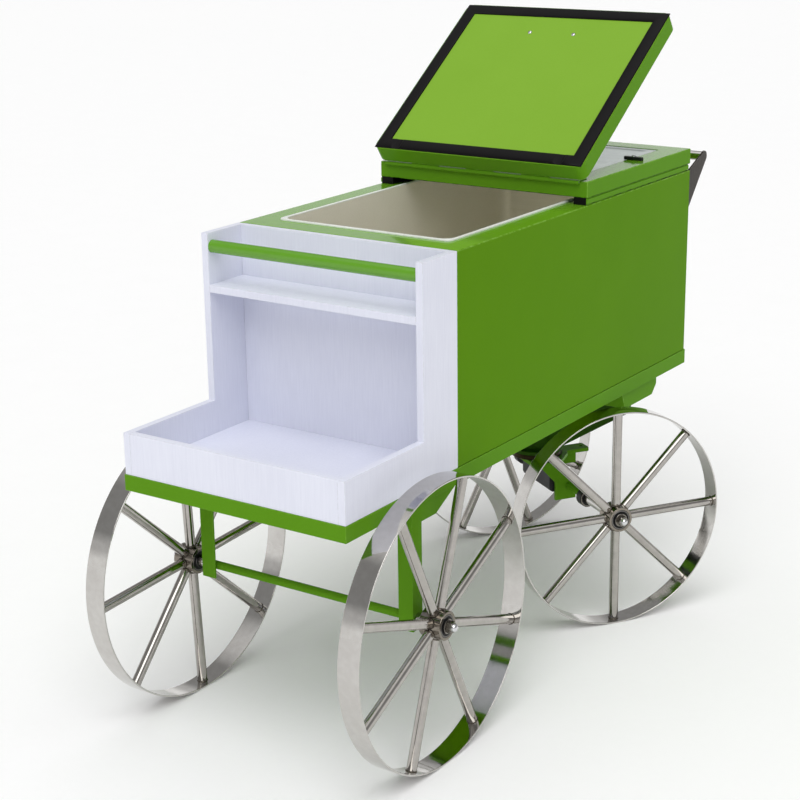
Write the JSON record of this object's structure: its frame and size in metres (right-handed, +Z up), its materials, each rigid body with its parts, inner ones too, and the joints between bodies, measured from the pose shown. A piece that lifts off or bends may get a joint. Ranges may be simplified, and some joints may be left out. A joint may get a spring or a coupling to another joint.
{
  "type": "cooler cart",
  "caption": "Push cart with an insulated ice tub under a hinged lid, a white serving tray with a shelf in front, spoked steel wheels and a steered rear axle.",
  "frame": {"origin": "on the floor, under the middle of the whole cart's outline as it stands", "axes": "+Z up, +Y from the serving tray to the push handle, +X to the right of a person facing the tray"},
  "size_m": [0.9466, 1.8588, 1.5434],
  "materials": {
    "green_paint": "gloss",
    "lid_green": "satin",
    "white_board": "satin",
    "white_trim": "gloss",
    "stainless": "satin",
    "polished_steel": "polished",
    "zinc_steel": "satin",
    "bronze": "satin",
    "seal_rubber": "matte",
    "black_plastic": "satin",
    "bearing_black": "satin",
    "foam": "matte"
  },
  "bodies": {
    "cart": {"base_rails": "green_paint", "bolster": "green_paint", "box_shell": "green_paint", "cover_pan": "green_paint", "cover_strips": "green_paint", "front_legs": "green_paint", "front_axle": "green_paint", "steering_post": "green_paint", "glass_rail": "green_paint", "hinge_leaf_cover": "green_paint", "unit_sides": "white_board", "unit_back": "white_board", "unit_shelf": "white_board", "unit_floor": "white_board", "unit_front": "white_board", "tub_trim": "white_trim", "tub": "stainless", "hatch_panel": "stainless", "drain_spout": "stainless", "hinge_pin": "stainless", "handle_tube": "polished_steel", "handle_brackets": "polished_steel", "front_spacers": "polished_steel", "front_nuts": "polished_steel", "button_screw": "zinc_steel", "steering_bushes": "bronze", "cover_seal": "seal_rubber", "box_foam": "foam"},
    "lid": {"hinge_leaf_lid": "green_paint", "lid_pan": "green_paint", "lid_core": "foam", "lid_panel": "lid_green", "lid_gasket": "seal_rubber", "lid_handle": "polished_steel", "lid_screws": "zinc_steel"},
    "button": {"turn_button": "black_plastic"},
    "swivel": {"kingpin": "zinc_steel", "kingpin_nut": "zinc_steel", "swivel_yoke": "green_paint", "yoke_block": "black_plastic", "rear_axle": "green_paint", "rear_collars": "black_plastic", "rear_spacers": "polished_steel", "rear_nuts": "polished_steel"},
    "wheel_front_right": {"front_right_rim": "polished_steel", "front_right_spokes": "polished_steel", "front_right_hub": "polished_steel", "front_right_bearings": "bearing_black"},
    "wheel_front_left": {"front_left_rim": "polished_steel", "front_left_spokes": "polished_steel", "front_left_hub": "polished_steel", "front_left_bearings": "bearing_black"},
    "wheel_rear_right": {"rear_right_rim": "polished_steel", "rear_right_spokes": "polished_steel", "rear_right_hub": "polished_steel", "rear_right_bearings": "bearing_black"},
    "wheel_rear_left": {"rear_left_rim": "polished_steel", "rear_left_spokes": "polished_steel", "rear_left_hub": "polished_steel", "rear_left_bearings": "bearing_black"}
  },
  "joints": [
    {"name": "lid_hinge", "type": "hinge", "parent": "cart", "child": "lid", "pos_m": [-0.03028, 0.14156, 1.1778], "axis": [1, 0, 0], "range_deg": [0, 145]},
    {"name": "button_turn", "type": "hinge", "parent": "cart", "child": "button", "pos_m": [0.22172, 0.47856, 1.1805], "axis": [0, 0, 1], "continuous": true},
    {"name": "steering", "type": "hinge", "parent": "cart", "child": "swivel", "pos_m": [-0.03028, 0.43556, 0.45], "axis": [0, 0, 1], "range_deg": [-16.6, 83.4]},
    {"name": "front_right_spin", "type": "hinge", "parent": "cart", "child": "wheel_front_right", "pos_m": [0.31972, -0.59744, 0.332], "axis": [1, 0, 0], "continuous": true},
    {"name": "front_left_spin", "type": "hinge", "parent": "cart", "child": "wheel_front_left", "pos_m": [-0.38028, -0.59744, 0.332], "axis": [1, 0, 0], "continuous": true},
    {"name": "rear_right_spin", "type": "hinge", "parent": "swivel", "child": "wheel_rear_right", "pos_m": [0.2922, 0.28881, 0.288], "axis": [0.8348, -0.5505, 0], "continuous": true},
    {"name": "rear_left_spin", "type": "hinge", "parent": "swivel", "child": "wheel_rear_left", "pos_m": [-0.2922, 0.67414, 0.288], "axis": [0.8348, -0.5505, 0], "continuous": true}
  ]
}
